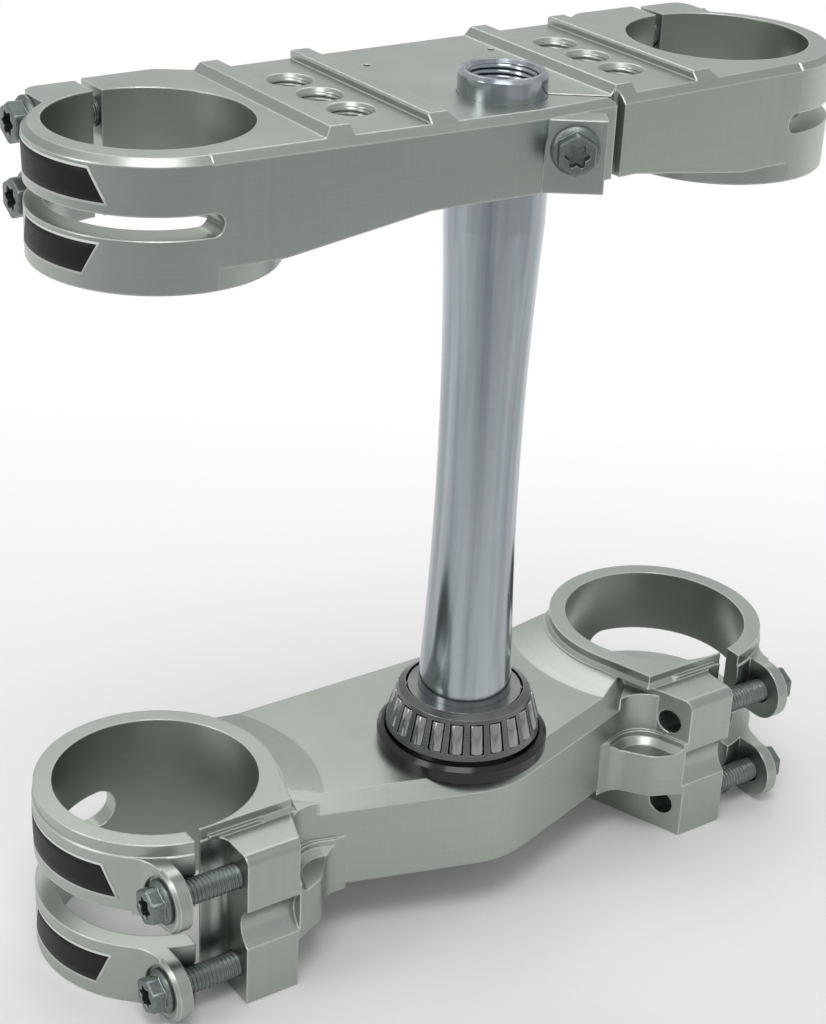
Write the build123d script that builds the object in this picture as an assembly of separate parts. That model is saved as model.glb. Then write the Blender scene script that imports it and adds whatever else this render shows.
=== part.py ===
# Triple clamp assembly of an off road motorcycle.
# X runs from fork leg to fork leg, Y to the front of the motorcycle, Z up along the steering axis.
# The origin is the centre of the steering stem's lower end, level with the lower clamp's underside.

from build123d import *
from math import atan2, cos, hypot, radians, sin, tan
import os

# Layout of the two clamps
FORK_X = 94.5
FORK_Y = 21.0
REACH = 200.0

# Lower clamp
LOWER_BORE_R = 30.0
LOWER_RING_R = 35.75
LOWER_LIP_R = 35.3
LOWER_BOTTOM = -18.0
ARM_TOP = 30.0
BLOCK_TOP = 32.0
LIP_TOP = 36.0
LIP_FOOT = 1.3
LIP_STEP_Y = FORK_Y - LOWER_BORE_R - 0.4
LIP_CORNER_X = FORK_X - 27.5
CONE_INNER_R = 37.4
CONE_OUTER_R = 49.0
ARM_REAR_Y = -25.4
ARM_REAR_SLOPE = 0.305
ARM_FRONT_Y = 46.0
ARM_NOSE_R = 30.0
NOSE_REACH = 1.3
ARM_BEVEL_WIDTH = 4.85
ARM_BEVEL_HEIGHT = 4.3

# Threaded block beside each lower ring, its slot and its groove
BLOCK_REAR_Y = FORK_Y - LOWER_RING_R - 9.65
BLOCK_INNER_X = FORK_X - 21.6
BLOCK_OUTER_X = FORK_X - 4.5
BLOCK_EDGE_R = 3.0
BLOCK_HOLE_X = FORK_X - 32.5
THIN_WALL_Y = FORK_Y - LOWER_BORE_R - 0.75
THIN_WALL_CORNER_R = 4.0
LOWER_SLOT_X = FORK_X + 2.5
LOWER_SLOT_END_X = FORK_X + 6.5
WINDOW_LOW = 1.2
WINDOW_HIGH = 14.0
WINDOW_END_X = FORK_X - 2.0
GROOVE_R = 7.4
GROOVE_DEPTH = 3.8
GROOVE_END_X = FORK_X - 22.1

# Ledge and pocket between each lower block and the arm
LEDGE_START_X = FORK_X - 46.5
LEDGE_FLAT = 7.0
LEDGE_RISE = 0.46
LEDGE_BLEND_R = 6.0
LEDGE_CREST_X = 10.4
LEDGE_CREST_Y = 4.4
LEDGE_BOTTOM = -2.0
LEDGE_TOP = 13.0
POCKET_FAR_X = 30.0
POCKET_STEP_Z = 17.0
POCKET_STEP = 0.9
POCKET_R = 10.0
POCKET_FLOOR_EDGE = 2.0
WEB_ROOT = 2.6
WEB_WIDTH = 3.0

# Ears of the lower rings
EAR_INNER_X = FORK_X + 14.2
EAR_OUTER_X = FORK_X + 18.9
EAR_SEAT_X = FORK_X + 18.5
EAR_R = 9.6
EAR_Y = FORK_Y - LOWER_RING_R - 2.45
EAR_ROOT_Y = FORK_Y - 25.0
EAR_CHAMFER = 0.9
EAR_BLEND_R = 12.0
SEAT_R = 7.6

# Upper clamp
UPPER_BORE_R = 27.0
UPPER_RING_R = 33.0
UPPER_RING_Y = FORK_Y - 2.5
UPPER_BOTTOM = 198.0
UPPER_TOP = 232.3
UPPER_ARM_BOTTOM = 210.0
TAPER_START_X = 34.0
TAPER_END_X = FORK_X - 18.5
TAPER_END_Z = 203.6
UPPER_REAR_Y = -19.4
UPPER_FRONT_Y = 53.0
REAR_BEVEL = 2.1
RING_CHAMFER = 1.8
UPPER_WINDOW_LOW = 212.0
UPPER_WINDOW_HIGH = 218.0
UPPER_WINDOW_END_X = FORK_X - 1.5

# Raised ribs across the upper clamp
RIB_HEIGHT = 2.3
INNER_RIB = (27.8, 33.5)
OUTER_RIB = (FORK_X - 38.5, FORK_X - 32.7)
RIB_CHAMFER = 0.5

# Pinch lugs in front of the upper rings
LUG_FOOT_X = FORK_X - 33.0
LUG_INNER_X = FORK_X - 22.0
LUG_FRONT_Y = 59.7
LUG_CORNER_R = 5.0
UPPER_SLOT_X = FORK_X - 0.6
UPPER_SLOT_END_X = FORK_X + 2.0
LUG_OUTER_X = FORK_X + 18.0
OUTER_LUG_FRONT_Y = 58.4
UPPER_BOLT_Y = 53.0
UPPER_BOLT_HEIGHTS = (205.0, 225.2)

# Handlebar mount holes and two small tapped holes
BAR_HOLE_X = 44.73
BAR_HOLE_Y = 19.85
BAR_HOLE_PITCH = 15.0
BAR_HOLE_R = 5.5
BAR_HOLE_CHAMFER = 1.0
SMALL_HOLES = ((-18.0, 38.0), (23.5, 37.0))
SMALL_HOLE_R = 1.25
SMALL_HOLE_DEPTH = 9.0

# Split that clamps the steering stem in the upper clamp
SPLIT_ANGLE = -33.0
SPLIT_WIDTH = 1.8
SPLIT_LENGTH = 30.5
SPLIT_GAP_X = 25.0
SPLIT_GAP_END_X = 28.0
SPLIT_GAP_TOP_Y = -14.5
STEM_BOLT_OFFSET = 19.0
STEM_BOLT_Z = 222.0
STEM_BOLT_SEAT = -15.5
STEM_SEAT_HALF = 8.2
STEM_SEAT_TOP = 230.0

# Steering stem
STEM_TOP = 238.8
STEM_TOP_R = 12.2
JOURNAL_R = 14.0
JOURNAL_LOW = 197.0
WAIST_R = 11.95
FOOT_TOP = 54.0
STEM_BORE_R = 9.0
STEM_THREAD_R = 9.25
STEM_THREAD_LENGTH = 24.0
STEM_RIM = 1.0

# Lower steering bearing, a single row of tapered rollers
SEAL_R = 26.0
SEAL_EDGE = 1.3
SEAL_MOUTH_R = 23.9
SEAL_TOP = 35.0
SEAL_PLATE_TOP = 33.0
RACE_TOP = 49.0
RACE_RIB_R = 17.2
RACE_RIB_LOW = 47.3
RACE_FLANGE_R = 20.3
RACE_FLANGE_TOP = 36.3
APEX_Z = 123.5
ROLLER_MID_Z = 42.0
ROLLER_TILT = 13.73
ROLLER_HALF_ANGLE = 1.67
ROLLER_LENGTH = 9.0
ROLLER_COUNT = 22
ROLLER_STEP = 360 / ROLLER_COUNT
CAGE_BOTTOM = 36.0
CAGE_TOP = 48.2
CAGE_BOTTOM_R = 23.4
CAGE_TOP_R = 20.05
CAGE_WALL = 0.9
CAGE_LIP_R = 17.9
CAGE_LIP_RISE = 1.2
CAGE_CLEARANCE = 0.2
ROLLER_SIDES = 12
WINDOW_SIDES = 8
WINDOW_SPARE = 0.45

# Pinch screws, eight millimetre thread with a flanged hexagon head
SCREW_R = 3.9
TAPPED_R = 4.05
TAPPED_SPARE = 2.0
CLEARANCE_R = 4.4
FLANGE_R = 6.65
FLANGE_SIDES = 20
FLANGE_HEIGHT = 1.6
HEX_R = 5.75
HEAD_HEIGHT = 6.0
STAR_R = 3.4
STAR_INNER_R = 2.35
STAR_POINTS = 6
STAR_DEPTH = 3.4
SHANK_SIDES = 12
LOWER_SCREW = 35.0
UPPER_SCREW = 30.0
STEM_SCREW = 25.0

# Overlap of joined pieces and overrun of cutters
OVERLAP = 2.0
OVERRUN = 1.0
CUTTER_SPARE = 4.0

# Fits
SLIP = 0.1
PRESS = 0.05
RUNNING = 0.05

EAR_HEIGHTS = (LOWER_BOTTOM + EAR_R, BLOCK_TOP - EAR_R)


def plate(points, bottom, top, rounds=()):
    """Upright prism on a closed outline, with some of its corners rounded."""
    face = make_face(Polyline(*points, close=True))
    for corner, radius in rounds:
        vertex = face.vertices().sort_by_distance(Vector(*corner))[0]
        face = fillet(vertex, radius)
    return extrude(Plane.XY.offset(bottom) * face, top - bottom)


def post(x, y, radius, bottom, top):
    """Upright cylinder."""
    return Pos(x, y, (bottom + top) / 2) * Cylinder(radius, top - bottom)


def block(x_low, x_high, y_low, y_high, z_low, z_high):
    """Square block between six planes."""
    middle = Pos((x_low + x_high) / 2, (y_low + y_high) / 2, (z_low + z_high) / 2)
    return middle * Box(x_high - x_low, y_high - y_low, z_high - z_low)


def rod_x(y, z, radius, x_low, x_high):
    """Round bar along X."""
    return Pos((x_low + x_high) / 2, y, z) * Rot(0, 90, 0) * Cylinder(radius, x_high - x_low)


def rod_y(x, z, radius, y_low, y_high):
    """Round bar along Y."""
    return Pos(x, (y_low + y_high) / 2, z) * Rot(90, 0, 0) * Cylinder(radius, y_high - y_low)


def prism(radius, sides, bottom, top):
    """Upright prism with a regular outline whose corners are on a circle."""
    return extrude(Plane.XY.offset(bottom) * RegularPolygon(radius, sides), top - bottom)


def screw_hole(y, z, radius, x_low, x_high):
    """Hole along X with as many flat sides as the shank of a screw."""
    return Pos(0, y, z) * Rot(0, 90, 0) * prism(radius, SHANK_SIDES, x_low, x_high)


def turned(points):
    """Solid turned about the Z axis from a half section of radius and height."""
    section = make_face(Polyline(*points, close=True))
    return revolve(Plane.XZ * section, Axis.Z)


def tangent_point(x, y, centre_y, radius, side):
    """Point where a line from x, y touches a ring whose centre is on the fork's plane."""
    across = FORK_X - x
    along = centre_y - y
    distance = hypot(across, along)
    length = (distance ** 2 - radius ** 2) ** 0.5
    heading = atan2(along, across) + side * atan2(radius, length)
    return (x + length * cos(heading), y + length * sin(heading))


def both_sides(shape):
    """Shape and its mirror image across the steering axis."""
    return shape + mirror(shape, about=Plane.YZ)


def bevel(start, end, depth, height, top):
    """Cutter for a slanted edge that runs along a line in plan, seen with the part on its left."""
    along = Vector(end[0] - start[0], end[1] - start[1], 0).normalized()
    outward = Vector(along.Y, -along.X, 0)
    base = Plane(origin=(start[0], start[1], 0), x_dir=outward, z_dir=-along)
    length = hypot(end[0] - start[0], end[1] - start[1])
    slope = height / depth
    low = top - height - CUTTER_SPARE * slope
    high = top + CUTTER_SPARE * slope
    corners = [(CUTTER_SPARE, low), (CUTTER_SPARE, high), (-depth - CUTTER_SPARE, high)]
    section = base * make_face(Polyline(*corners, close=True))
    return extrude(section, -length)


def screw(length):
    """Flanged hexagon screw with a star recess, its seat at height 0 and its shank pointing down."""
    corners = []
    for turn in range(2 * STAR_POINTS):
        radius = STAR_R if turn % 2 == 0 else STAR_INNER_R
        angle = radians(turn * 180 / STAR_POINTS)
        corners.append((radius * cos(angle), radius * sin(angle)))
    star = make_face(Polyline(*corners, close=True))
    recess = extrude(Plane.XY.offset(HEAD_HEIGHT - STAR_DEPTH) * star, STAR_DEPTH)
    head = prism(FLANGE_R, FLANGE_SIDES, 0, FLANGE_HEIGHT) + prism(HEX_R, 6, 0, HEAD_HEIGHT) - recess
    return head + prism(SCREW_R, SHANK_SIDES, -length, 0)


def screw_at(origin, outward, length):
    """Screw with its seat at a point and its head pointing outward."""
    return Plane(origin=origin, z_dir=outward).location * screw(length)


# Lower clamp, right half
def lower_block():
    """Block with the two tapped holes, on a line that touches the ring."""
    touch = tangent_point(BLOCK_INNER_X, BLOCK_REAR_Y, FORK_Y, LOWER_RING_R, 1)
    corner = (BLOCK_INNER_X, BLOCK_REAR_Y)
    inside = (BLOCK_OUTER_X, THIN_WALL_Y)
    points = [touch, corner, (BLOCK_OUTER_X, BLOCK_REAR_Y), inside, (LOWER_SLOT_X, THIN_WALL_Y),
              (LOWER_SLOT_X, FORK_Y), (FORK_X - LOWER_BORE_R, FORK_Y)]
    body = plate(points, LOWER_BOTTOM, BLOCK_TOP, ((inside, THIN_WALL_CORNER_R),))
    near = (BLOCK_REAR_Y - OVERRUN, BLOCK_REAR_Y + OVERRUN)
    edge = body.edges().filter_by(Axis.X).filter_by_position(Axis.Y, *near)
    return fillet(edge.sort_by(Axis.Z)[-1], BLOCK_EDGE_R)


def lip_outline(spread):
    """Flat step and straight flank of the rim in plan, moved out by spread."""
    corner = (LIP_CORNER_X - spread, LIP_STEP_Y - spread)
    touch = tangent_point(*corner, FORK_Y, LOWER_LIP_R + spread, 1)
    return [touch, corner, (FORK_X, LIP_STEP_Y - spread), (FORK_X, FORK_Y)]


def lower_lip():
    """Raised rim round the bore, with a flat step towards the block and a slanted foot."""
    rim = post(FORK_X, FORK_Y, LOWER_LIP_R, BLOCK_TOP, LIP_TOP) + plate(lip_outline(0), BLOCK_TOP, LIP_TOP)
    rim -= block(0, LOWER_SLOT_END_X, -REACH, LIP_STEP_Y, BLOCK_TOP, LIP_TOP)
    foot_top = BLOCK_TOP + LIP_FOOT
    wide = Plane.XY.offset(BLOCK_TOP) * make_face(Polyline(*lip_outline(LIP_FOOT), close=True))
    narrow = Plane.XY.offset(foot_top) * make_face(Polyline(*lip_outline(0), close=True))
    foot = loft([wide, narrow])
    slant = Cone(LOWER_LIP_R + LIP_FOOT, LOWER_LIP_R, LIP_FOOT)
    foot += Pos(FORK_X, FORK_Y, (BLOCK_TOP + foot_top) / 2) * slant
    foot &= block(0, FORK_X, LIP_STEP_Y - LIP_FOOT, ARM_FRONT_Y, BLOCK_TOP, foot_top)
    return rim + foot


def ear_blend(bottom, top):
    """Hollow curve that leads the ring's outside into the flat face of an ear."""
    reach = LOWER_RING_R + EAR_BLEND_R
    across = EAR_OUTER_X + EAR_BLEND_R - FORK_X
    along = (reach ** 2 - across ** 2) ** 0.5
    share = LOWER_RING_R / reach
    on_ear = (EAR_OUTER_X, FORK_Y - along)
    on_ring = (FORK_X + across * share, FORK_Y - along * share)
    wedge = plate([(EAR_INNER_X, on_ear[1]), on_ear, on_ring, (EAR_INNER_X, on_ring[1])], bottom, top)
    centre_x = EAR_OUTER_X + EAR_BLEND_R
    return wedge - post(centre_x, on_ear[1], EAR_BLEND_R, bottom - OVERRUN, top + OVERRUN)


def lower_ears():
    """Two ears that carry the screw heads."""
    ears = []
    for height in EAR_HEIGHTS:
        ear = rod_x(EAR_Y, height, EAR_R, EAR_INNER_X, EAR_OUTER_X)
        ear += block(EAR_INNER_X, EAR_OUTER_X, EAR_Y, EAR_ROOT_Y, height - EAR_R, height + EAR_R)
        ear = chamfer(ear.faces().sort_by(Axis.X)[-1].edges(), EAR_CHAMFER)
        ear += ear_blend(height - EAR_R, height + EAR_R)
        ear -= rod_x(EAR_Y, height, SEAT_R, EAR_SEAT_X, REACH)
        ears.append(ear)
    return ears[0] + ears[1]


def lower_arm():
    """Arm from the steering axis to the ring, with its slanted edge and the cone round the ring."""
    reach_x = FORK_X - LOWER_BORE_R + OVERLAP
    rear_end = (reach_x, ARM_REAR_Y + ARM_REAR_SLOPE * reach_x)
    points = [(0, ARM_REAR_Y), rear_end, (FORK_X, FORK_Y), (FORK_X, ARM_FRONT_Y), (0, ARM_FRONT_Y)]
    arm = plate(points, 0, BLOCK_TOP)
    cone_height = (BLOCK_TOP - ARM_TOP) * CONE_OUTER_R / (CONE_OUTER_R - CONE_INNER_R)
    cone = Pos(FORK_X, FORK_Y, ARM_TOP + cone_height / 2) * Cone(CONE_OUTER_R, 0.01, cone_height)
    crown = block(-OVERRUN, FORK_X, -REACH, REACH, ARM_TOP, LIP_TOP)
    arm -= crown - cone
    arm -= bevel((0, ARM_REAR_Y), rear_end, ARM_BEVEL_WIDTH, ARM_BEVEL_HEIGHT, ARM_TOP)
    return arm


def lower_ledge():
    """Ledge between the block and the arm, with the pocket above it."""
    touch = tangent_point(BLOCK_INNER_X, BLOCK_REAR_Y, FORK_Y, LOWER_RING_R, 1)
    start = (LEDGE_START_X, ARM_REAR_Y + ARM_REAR_SLOPE * LEDGE_START_X)
    hollow = (start[0] + LEDGE_FLAT, start[1] + LEDGE_RISE)
    crest = (BLOCK_INNER_X - LEDGE_CREST_X, BLOCK_REAR_Y + LEDGE_CREST_Y)
    corner = (BLOCK_INNER_X, BLOCK_REAR_Y)
    inner = (BLOCK_INNER_X + BLOCK_EDGE_R, BLOCK_REAR_Y + BLOCK_EDGE_R)
    ledge = plate([start, hollow, crest, corner, inner, (FORK_X - LOWER_BORE_R, 0), touch, (hollow[0], 0)],
                  LEDGE_BOTTOM, POCKET_STEP_Z, ((hollow, LEDGE_BLEND_R), (crest, LEDGE_BLEND_R)))
    meeting = wall_corner(0)[0]
    share = POCKET_R / hypot(1, ARM_REAR_SLOPE)
    arm_end = (meeting[0] - share, meeting[1] - share * ARM_REAR_SLOPE)
    filler = [arm_end, (meeting[0] + WEB_ROOT, meeting[1] - POCKET_R), (meeting[0] + WEB_WIDTH, meeting[1]),
              (meeting[0], 0)]
    return ledge + plate(filler, POCKET_STEP_Z, ARM_TOP)


def wall_corner(inset):
    """Corner where the arm's rear face meets the block's inner face, both moved out by inset."""
    touch = tangent_point(BLOCK_INNER_X, BLOCK_REAR_Y, FORK_Y, LOWER_RING_R, 1)
    wall_x = touch[0] - BLOCK_INNER_X
    wall_y = touch[1] - BLOCK_REAR_Y
    length = hypot(wall_x, wall_y)
    side = (-wall_y / length * inset, wall_x / length * inset)
    rear = ARM_REAR_Y - inset * hypot(1, ARM_REAR_SLOPE)
    start = (BLOCK_INNER_X + side[0], BLOCK_REAR_Y + side[1])
    share = (rear + ARM_REAR_SLOPE * start[0] - start[1]) / (wall_y - ARM_REAR_SLOPE * wall_x)
    corner = (start[0] + share * wall_x, start[1] + share * wall_y)
    low = (corner[0] - (1 + share) * wall_x, corner[1] - (1 + share) * wall_y)
    return corner, low, rear


def pocket(inset, bottom, top):
    """Space between the arm's rear face and the block's inner face."""
    corner, low, rear = wall_corner(inset)
    far = (POCKET_FAR_X, rear + ARM_REAR_SLOPE * POCKET_FAR_X)
    return plate([corner, far, (POCKET_FAR_X, low[1]), low], bottom, top, ((corner, POCKET_R),))


def lower_half():
    """Right half of the lower clamp."""
    ring = post(FORK_X, FORK_Y, LOWER_RING_R, LOWER_BOTTOM, BLOCK_TOP)
    ring -= block(0, LOWER_SLOT_END_X, -REACH, THIN_WALL_Y, LOWER_BOTTOM, BLOCK_TOP)
    half = ring + lower_block() + lower_arm() + lower_ledge()
    groove_y = BLOCK_REAR_Y - GROOVE_R + GROOVE_DEPTH
    half -= rod_x(groove_y, (WINDOW_LOW + WINDOW_HIGH) / 2, GROOVE_R, GROOVE_END_X, REACH)
    half -= pocket(0, POCKET_STEP_Z, LIP_TOP)
    floor = pocket(POCKET_STEP, LEDGE_TOP, POCKET_STEP_Z)
    half -= chamfer(floor.faces().sort_by(Axis.Z)[0].edges(), POCKET_FLOOR_EDGE)
    half += lower_lip()
    half -= post(FORK_X, FORK_Y, LOWER_BORE_R, LOWER_BOTTOM - OVERRUN, LIP_TOP + OVERRUN)
    radius = (WINDOW_HIGH - WINDOW_LOW) / 2
    middle = (WINDOW_HIGH + WINDOW_LOW) / 2
    half -= block(WINDOW_END_X + radius, REACH, -REACH, REACH, WINDOW_LOW, WINDOW_HIGH)
    half -= rod_y(WINDOW_END_X + radius, middle, radius, FORK_Y, REACH)
    half += lower_ears() - post(FORK_X, FORK_Y, LOWER_BORE_R, LOWER_BOTTOM, BLOCK_TOP)
    slot_y = FORK_Y - LOWER_BORE_R / 2
    slot_bottom = LOWER_BOTTOM - OVERRUN
    half -= block(LOWER_SLOT_X, LOWER_SLOT_END_X, -REACH, slot_y, slot_bottom, LIP_TOP + OVERRUN)
    for height in EAR_HEIGHTS:
        half -= screw_hole(EAR_Y, height, TAPPED_R, BLOCK_HOLE_X, BLOCK_OUTER_X)
        half -= screw_hole(EAR_Y, height, CLEARANCE_R, BLOCK_OUTER_X, REACH)
    return half


def arm_nose():
    """Cutter that rounds the arm behind the steering axis, where its two straight faces meet."""
    centre_y = ARM_REAR_Y + ARM_NOSE_R * hypot(1, ARM_REAR_SLOPE)
    far = ARM_NOSE_R * NOSE_REACH
    wide = far * ARM_REAR_SLOPE
    corners = [(0, centre_y), (wide, centre_y - far), (-wide, centre_y - far)]
    wedge = plate(corners, -OVERRUN, ARM_TOP + OVERRUN)
    slope = ARM_BEVEL_WIDTH / ARM_BEVEL_HEIGHT
    tip_r = ARM_NOSE_R - ARM_BEVEL_WIDTH - OVERLAP * slope
    round_end = turned([(0, -OVERLAP), (ARM_NOSE_R, -OVERLAP), (ARM_NOSE_R, ARM_TOP - ARM_BEVEL_HEIGHT),
                        (tip_r, ARM_TOP + OVERLAP), (0, ARM_TOP + OVERLAP)])
    return wedge - Pos(0, centre_y, 0) * round_end


def lower_clamp():
    """Lower clamp with the press seat of the steering stem."""
    body = both_sides(lower_half()) - arm_nose()
    return body - post(0, 0, JOURNAL_R + PRESS, -OVERRUN, LIP_TOP)


# Upper clamp, right half
def upper_arm():
    """Arm and lug plan of one side, cut away below towards the steering axis."""
    touch = tangent_point(0, UPPER_REAR_Y, UPPER_RING_Y, UPPER_RING_R, -1)
    lug_corner = (LUG_INNER_X, LUG_FRONT_Y)
    foot = (LUG_FOOT_X, UPPER_FRONT_Y)
    points = [(0, UPPER_REAR_Y), touch, (FORK_X, FORK_Y), (FORK_X, LUG_FRONT_Y), lug_corner, foot,
              (0, UPPER_FRONT_Y)]
    arm = plate(points, UPPER_BOTTOM, UPPER_TOP, ((lug_corner, LUG_CORNER_R), (foot, LUG_CORNER_R)))
    under = [(-OVERRUN, UPPER_ARM_BOTTOM), (TAPER_START_X, UPPER_ARM_BOTTOM), (TAPER_END_X, TAPER_END_Z),
             (FORK_X, TAPER_END_Z), (FORK_X, UPPER_BOTTOM - OVERRUN), (-OVERRUN, UPPER_BOTTOM - OVERRUN)]
    section = Plane.XZ.offset(-REACH) * make_face(Polyline(*under, close=True))
    return arm - extrude(section, 2 * REACH)


def rib(inner, outer, slope_outside):
    """Rib from rear to front, upright beside the handlebar pad and slanted on its other side."""
    upright = inner if slope_outside else outer
    slanted = outer if slope_outside else inner
    way = 1 if slope_outside else -1
    top = UPPER_TOP + RIB_HEIGHT
    foot = slanted + way * RIB_HEIGHT
    root = UPPER_TOP - OVERRUN
    points = [(upright, root), (upright, top - RIB_CHAMFER), (upright + way * RIB_CHAMFER, top),
              (slanted, top), (foot, UPPER_TOP), (foot, root)]
    section = Plane.XZ.offset(-UPPER_FRONT_Y) * make_face(Polyline(*points, close=True))
    return extrude(section, UPPER_FRONT_Y - UPPER_REAR_Y + OVERLAP)


def upper_half():
    """Right half of the upper clamp."""
    touch = tangent_point(0, UPPER_REAR_Y, UPPER_RING_Y, UPPER_RING_R, -1)
    ring = post(FORK_X, UPPER_RING_Y, UPPER_RING_R, UPPER_BOTTOM, UPPER_TOP)
    ring = chamfer(ring.edges().sort_by(Axis.Z)[-1], RING_CHAMFER)
    lug_corner = (LUG_OUTER_X, OUTER_LUG_FRONT_Y)
    lug = plate([(FORK_X, FORK_Y), (LUG_OUTER_X, FORK_Y), lug_corner, (FORK_X, OUTER_LUG_FRONT_Y)],
                UPPER_BOTTOM, UPPER_TOP, ((lug_corner, LUG_CORNER_R),))
    arm = upper_arm()
    ribs = rib(*INNER_RIB, False) + rib(*OUTER_RIB, True)
    ribs &= plate([(0, UPPER_REAR_Y), touch, (FORK_X, UPPER_FRONT_Y), (0, UPPER_FRONT_Y)],
                  UPPER_TOP - OVERRUN, UPPER_TOP + RIB_HEIGHT + OVERRUN)
    half = ring + lug + arm + ribs
    half -= bevel((0, UPPER_REAR_Y), touch, REAR_BEVEL, REAR_BEVEL, UPPER_TOP)
    half -= post(FORK_X, FORK_Y, UPPER_BORE_R, UPPER_BOTTOM - OVERRUN, UPPER_TOP + OVERRUN)
    radius = (UPPER_WINDOW_HIGH - UPPER_WINDOW_LOW) / 2
    middle = (UPPER_WINDOW_HIGH + UPPER_WINDOW_LOW) / 2
    start = UPPER_WINDOW_END_X + radius
    half -= block(start, REACH, -REACH, REACH, UPPER_WINDOW_LOW, UPPER_WINDOW_HIGH)
    half -= rod_y(start, middle, radius, -REACH, FORK_Y)
    slot_bottom = UPPER_BOTTOM - OVERRUN
    half -= block(UPPER_SLOT_X, UPPER_SLOT_END_X, FORK_Y, REACH, slot_bottom, UPPER_TOP + OVERRUN)
    hole_end = LUG_OUTER_X - UPPER_SCREW - TAPPED_SPARE
    for height in UPPER_BOLT_HEIGHTS:
        half -= screw_hole(UPPER_BOLT_Y, height, TAPPED_R, hole_end, UPPER_SLOT_X)
        half -= screw_hole(UPPER_BOLT_Y, height, CLEARANCE_R, UPPER_SLOT_X, LUG_OUTER_X)
        half -= rod_x(UPPER_BOLT_Y, height, SEAT_R, LUG_OUTER_X, REACH)
    for row in (-1, 0, 1):
        hole_y = BAR_HOLE_Y + row * BAR_HOLE_PITCH
        half -= post(BAR_HOLE_X, hole_y, BAR_HOLE_R, UPPER_BOTTOM, UPPER_TOP + OVERRUN)
        mouth = Cone(BAR_HOLE_R, BAR_HOLE_R + BAR_HOLE_CHAMFER, BAR_HOLE_CHAMFER)
        half -= Pos(BAR_HOLE_X, hole_y, UPPER_TOP - BAR_HOLE_CHAMFER / 2) * mouth
    return half


def stem_bolt_plane():
    """Plane on the stem screw's axis, its normal along the shank."""
    across = Vector(cos(radians(SPLIT_ANGLE)), sin(radians(SPLIT_ANGLE)), 0)
    along = Vector(-across.Y, across.X, 0)
    centre = across * STEM_BOLT_OFFSET
    return Plane(origin=(centre.X, centre.Y, STEM_BOLT_Z), x_dir=across, z_dir=along)


def upper_clamp():
    """Upper clamp with the split and the slanted screw seat that grip the steering stem."""
    body = both_sides(upper_half())
    frame = stem_bolt_plane()
    seat_low = STEM_BOLT_Z - UPPER_ARM_BOTTOM
    seat_high = STEM_SEAT_TOP - STEM_BOLT_Z
    seat_middle = (seat_low - seat_high) / 2
    seat_depth = -STEM_BOLT_SEAT
    boss = Pos(0, seat_middle, STEM_BOLT_SEAT + seat_depth / 4) * Box(
        2 * STEM_SEAT_HALF, seat_low + seat_high, seat_depth / 2)
    body += frame.location * boss
    body -= post(0, 0, STEM_TOP_R + SLIP, UPPER_ARM_BOTTOM - OVERRUN, UPPER_TOP + OVERRUN)
    spot_middle = STEM_BOLT_SEAT - seat_depth / 2
    spot = Pos(0, 0, spot_middle) * Cylinder(STEM_SEAT_HALF, seat_depth)
    spot += Pos(0, seat_low, spot_middle) * Box(2 * STEM_SEAT_HALF, 2 * seat_low, seat_depth)
    body -= frame.location * spot
    tapped_depth = STEM_SCREW + STEM_BOLT_SEAT + TAPPED_SPARE
    body -= frame.location * prism(TAPPED_R, SHANK_SIDES, 0, tapped_depth)
    body -= frame.location * prism(CLEARANCE_R, SHANK_SIDES, -seat_depth, 0)
    split = Pos(SPLIT_LENGTH / 2, 0, 0) * Box(SPLIT_LENGTH, SPLIT_WIDTH, 2 * REACH)
    body -= Pos(0, 0, UPPER_TOP) * Rot(0, 0, SPLIT_ANGLE) * split
    gap_r = (SPLIT_GAP_END_X - SPLIT_GAP_X) / 2
    gap_y = SPLIT_GAP_TOP_Y - gap_r
    gap = block(SPLIT_GAP_X, SPLIT_GAP_END_X, -REACH, gap_y, UPPER_BOTTOM, UPPER_TOP + OVERRUN)
    gap += post(SPLIT_GAP_X + gap_r, gap_y, gap_r, UPPER_BOTTOM, UPPER_TOP + OVERRUN)
    body -= gap
    for hole_x, hole_y in SMALL_HOLES:
        body -= post(hole_x, hole_y, SMALL_HOLE_R, UPPER_TOP - SMALL_HOLE_DEPTH, UPPER_TOP + OVERRUN)
    return body


def steering_stem():
    """Hollow stem with a waist between its two bearing journals and a thread inside its top."""
    foot = (JOURNAL_R, FOOT_TOP)
    shoulder = (JOURNAL_R, JOURNAL_LOW)
    waist = ThreePointArc(foot, (WAIST_R, (FOOT_TOP + JOURNAL_LOW) / 2), shoulder)
    thread_end = STEM_TOP - STEM_THREAD_LENGTH
    rest = Polyline(shoulder, (JOURNAL_R, UPPER_ARM_BOTTOM), (STEM_TOP_R, UPPER_ARM_BOTTOM),
                    (STEM_TOP_R, STEM_TOP - STEM_RIM), (STEM_TOP_R - STEM_RIM, STEM_TOP),
                    (STEM_THREAD_R + STEM_RIM, STEM_TOP), (STEM_THREAD_R, STEM_TOP - STEM_RIM),
                    (STEM_THREAD_R, thread_end), (STEM_BORE_R, thread_end),
                    (STEM_BORE_R, 0), (JOURNAL_R, 0), foot)
    return revolve(Plane.XZ * make_face(waist + rest), Axis.Z)


# Lower steering bearing
def bearing_seal():
    """Dust seal on the arm, below the bearing."""
    bore = JOURNAL_R + PRESS
    return turned([(bore, ARM_TOP), (SEAL_R, ARM_TOP), (SEAL_R, SEAL_TOP - SEAL_EDGE),
                   (SEAL_R - SEAL_EDGE, SEAL_TOP), (SEAL_MOUTH_R, SEAL_TOP),
                   (SEAL_MOUTH_R - SEAL_EDGE, SEAL_PLATE_TOP), (bore, SEAL_PLATE_TOP)])


def race_r(height):
    """Radius of the inner race's running face at a height."""
    return (APEX_Z - height) * tan(radians(ROLLER_TILT - ROLLER_HALF_ANGLE))


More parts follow.
